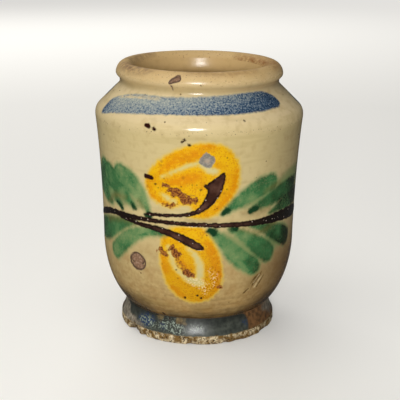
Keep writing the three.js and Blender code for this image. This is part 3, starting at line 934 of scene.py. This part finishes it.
# Cobalt, which breaks into dark grains over a grey wash.
band_depth = add(tree, "Attribute", {}, out="Fac", attribute_name="band_depth")
strength = add(tree, "Math", {0: grain, 1: 2.4, 2: band_depth}, operation="MULTIPLY_ADD")
blue = add(tree, "MapRange", {"Value": strength, "From Min": 0.85, "From Max": 2.1})
dark = add(tree, "MapRange", {"Value": strength, "From Min": 1.75, "From Max": 2.6})
cobalt = laid_on(tree, "#b2b5a6", [("#4b6580", blue), ("#1d3047", dark)])
banded = edge_of(tree, "band", crumbled, 0.0, 0.6)
colour = laid_on(tree, colour, [(cobalt, banded)])

# The foot: thin brown glaze with slate strokes that are flecked with smalt and crystals, tan where it ran
# off, and pale and chalky towards its sides. Painted shade darkens the slate near the top, under the bowl.
on_foot = add(tree, "MapRange", {"Value": at, "From Min": 15.6, "From Max": 14.2})
rust = laid_on(tree, "#87603a", [("#523a20", blotch)])
cloudy = add(tree, "MapRange", {"Value": drag, "From Min": 0.3, "From Max": 0.7})
# Painted shade: the slate is darker near the top of the foot, under the bowl.
sunk = add(tree, "MapRange", {"Value": at, "From Min": 9.5, "From Max": 14.5, "To Max": 0.7})
crumbs = add(tree, "MapRange", {"Value": grain, "From Min": 0.54, "From Max": 0.44})
fleck = add(tree, "MapRange", {"Value": grain, "From Min": 0.5, "From Max": 0.62})
smalt = edge_of(tree, "foot_smalt", ragged, 0.0, 2.4)
frosted = edge_of(tree, "foot_crystal", ragged, 0.0, 2.4)
coats = [("#54584f", cloudy), ("#1a1e1a", sunk), ("#1f3a66", smalt, crumbs), ("#9fac9b", frosted, fleck)]
slate = laid_on(tree, "#2c302b", coats)
thinned = laid_on(tree, "#4f3d22", [("#97845a", cloudy)])
chalky = laid_on(tree, "#4d4335", [("#b3a894", cloudy)])
torn = add(tree, "MapRange", {"Value": pool, "To Min": -5.0, "To Max": 5.0})
stroked = edge_of(tree, "foot_blue", ragged, 0.0, 0.7)
run_off = edge_of(tree, "foot_tan", torn, 0.0, 1.0)
# Pale, chalky patches towards the foot's sides.
pale_sides = edge_of(tree, "foot_pale_side", torn, 0.0, 1.6)
coats = [(rust, on_foot), (slate, stroked, on_foot), (thinned, run_off), (chalky, pale_sides, on_foot)]
colour = laid_on(tree, colour, coats)

# Manganese brown, thick and blistered, nearly black along its edges and towards the sides, with pale dots
# painted on it as glints of light on its blisters.
mottled = add(tree, "MapRange", {"Value": pool, "From Min": 0.38, "From Max": 0.62})
black = add(tree, "MapRange", {"Value": aside, "From Min": 14 * MM, "From Max": 36 * MM})
brown = laid_on(tree, "#3c2219", [("#5e3f32", mottled), ("#1b1610", black)])
# Painted glints: pale dots on the manganese, whose cells also pit its relief.
blister_glints = add(tree, "TexVoronoi", {"Vector": place, "Scale": 1 / (2.7 * MM)})
painted_glints = add(tree, "MapRange", {"Value": blister_glints, "From Min": 0.17, "From Max": 0.1, "To Max": 0.75})
heart = edge_of(tree, "stem", ragged, 1.0, 0.8)
brown = laid_on(tree, "#21110d", [(brown, heart), ("#c2b0a0", painted_glints)])
beaded = add(tree, "MapRange", {"Value": drag, "To Min": -0.8, "To Max": 0.8})
lined = edge_of(tree, "stem", beaded, 0.0, 0.35)
colour = laid_on(tree, colour, [(brown, lined)])

# Bare clay in the pits and along the foot, the grey flake, the kiln spots and the scratches, and a
# painted highlight in pale lines along the scratches' raised edges.
clay = laid_on(tree, "#876449", [("#a5846a", fleck)])
lifted = edge_of(tree, "lifted", crumbled, 0.0, 0.35)
pit = edge_of(tree, "lifted", crumbled, 0.9, 0.5)
ring = add(tree, "Math", {0: lifted, 1: pit}, operation="SUBTRACT")
flaked = edge_of(tree, "flake", crumbled, 0.0, 0.4)
sunken = edge_of(tree, "flake", crumbled, 2.4, 0.8)
dusted = add(tree, "MapRange", {"Value": grain, "From Min": 0.42, "From Max": 0.66, "To Max": 0.6})
grey = laid_on(tree, "#7f796e", [("#b29c84", sunken), ("#a79f92", dusted)])
spotted = edge_of(tree, "spot", crumbled, 0.0, 0.4)
scratched = edge_of(tree, "scratch", crumbled, 0.0, 0.35)
scored = laid_on(tree, "#543a1c", [("#6f8a5a", wet)])
# Painted highlight: pale lines along the raised edges of the scratches.
glinting_edges = edge_of(tree, "scratch_glint", crumbled, 0.0, 0.4)
frayed = add(tree, "Math", {0: ragged, 1: at}, operation="ADD")
frayed = add(tree, "MapRange", {"Value": frayed, "From Min": 5.4, "From Max": 4.9})
crumb = add(tree, "MapRange", {"Value": drag, "From Min": 0.35, "From Max": 0.65})
edge_clay = laid_on(tree, "#5e4722", [("#d0ba8a", crumb)])
coats = [
    (clay, lifted), ("#553d2b", ring), (grey, flaked), ("#30110a", spotted), (scored, scratched, 0.9),
    ("#e0cc9c", glinting_edges, 0.8), (edge_clay, frayed),
]
colour = laid_on(tree, colour, coats)

# Gloss everywhere but on the bare clay, and duller on the worn rim and the foot.
dull = lifted
for where, share in ((flaked, 1.0), (frayed, 1.0), (tanned, 0.3), (on_foot, 0.3)):
    shared = add(tree, "Math", {0: where, 1: share}, operation="MULTIPLY")
    dull = add(tree, "Math", {0: dull, 1: shared}, operation="MAXIMUM")
rough = add(tree, "MapRange", {"Value": dull, "To Min": 0.17, "To Max": 0.75})

# Orange peel, with pits in the manganese, brush marks in the yellow, and rough blisters.
skin = orange_peel(tree, place)
for where, pattern, tall in ((lined, blister_glints, -3.0), (covered, drag, 1.5), (blistered_glare, grain, 4.0)):
    bumpy = add(tree, "Math", {0: where, 1: pattern}, operation="MULTIPLY")
    skin = add(tree, "Math", {0: bumpy, 1: tall, 2: skin}, operation="MULTIPLY_ADD")
relief = add(tree, "Bump", {"Height": skin, "Distance": 0.08 * MM})
wire(shader, {"Base Color": colour, "Roughness": rough, "IOR": 1.5, "Normal": relief})
outer.data.materials.append(material)
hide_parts("outer_glaze")
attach(outer, "root")


# The studio
# A floor of pale matt paper, a small soft box by the camera, and broad lights above and behind. The floor
# and the broad lights show in no reflection. The camera alone sees a white surround, and sees the floor
# grow paler with distance until the two meet.
FLOOR_SIZE = 6.0
PALER_FROM = 0.7
PALEST_AT = 2.6
bm = bmesh.new()
bmesh.ops.create_grid(bm, x_segments=1, y_segments=1, size=FLOOR_SIZE)
mesh = bpy.data.meshes.new("floor")
bm.to_mesh(mesh)
bm.free()
floor = bpy.data.objects.new("floor", mesh)
bpy.context.scene.collection.objects.link(floor)
material, tree, shader = finish_of("paper backdrop, matt")
place = add(tree, "TexCoord", {}, out="Object")
away = add(tree, "VectorMath", {0: place}, out="Value", operation="LENGTH")
spread = {"Value": away, "From Min": PALER_FROM, "From Max": PALEST_AT, "To Min": 0.3, "To Max": 0.8}
paler = add(tree, "MapRange", spread)
seen = add(tree, "LightPath", {}, out="Is Camera Ray")
lift = add(tree, "Math", {0: paler, 1: seen}, operation="MULTIPLY")
wire(shader, {"Base Color": "#d6d4ce", "Roughness": 0.9})
wire(shader, {"Emission Color": "#f4f2ee", "Emission Strength": lift})
floor.data.materials.append(material)
floor.visible_glossy = False

AIM = Vector((0, 0, 0.08))
LAMPS = {
    "soft_box": {"place": (-0.05, -0.9, 0.29), "size": (0.2, 0.14), "watts": 5.2, "mirrored": True},
    "overhead": {"place": (-0.32, -0.2, 1.3), "size": (1.2, 1.2), "watts": 9.0, "mirrored": False},
    "back_light": {"place": (-0.5, 1.5, 1.1), "size": (1.6, 0.9), "watts": 18.0, "mirrored": False},
}
for name, lamp in LAMPS.items():
    light = bpy.data.lights.new(name, "AREA")
    light.shape = "RECTANGLE"
    light.size, light.size_y = lamp["size"]
    light.energy = lamp["watts"]
    held = bpy.data.objects.new(name, light)
    held.location = lamp["place"]
    held.rotation_euler = (AIM - held.location).to_track_quat("-Z", "Y").to_euler()
    held.visible_glossy = lamp["mirrored"]
    held.visible_camera = False
    bpy.context.scene.collection.objects.link(held)

SURROUND = 0.05
world = bpy.data.worlds.new("white surround")
bpy.context.scene.world = world
world.use_nodes = True
tree = world.node_tree
seen = add(tree, "LightPath", {}, out="Is Camera Ray")
level = add(tree, "MapRange", {"Value": seen, "To Min": SURROUND, "To Max": 1.0})
wire(tree.nodes["Background"], {"Color": "#ffffff", "Strength": level})

CAMERA_PLACE = (0.0009, -0.525, 0.2235)
CAMERA_PITCH = 0.284
CAMERA_ROLL = math.radians(0.55)
FOCAL_PIXELS = 953.6
IMAGE_WIDTH = 400
camera = bpy.data.objects.new("camera", bpy.data.cameras.new("camera"))
camera.data.sensor_width = 36
camera.data.lens = camera.data.sensor_width * FOCAL_PIXELS / IMAGE_WIDTH
camera.location = CAMERA_PLACE
camera.rotation_mode = "ZXY"
camera.rotation_euler = (math.pi / 2 - CAMERA_PITCH, 0, CAMERA_ROLL)
bpy.context.scene.collection.objects.link(camera)
bpy.context.scene.camera = camera
bpy.context.scene.view_settings.view_transform = "Standard"
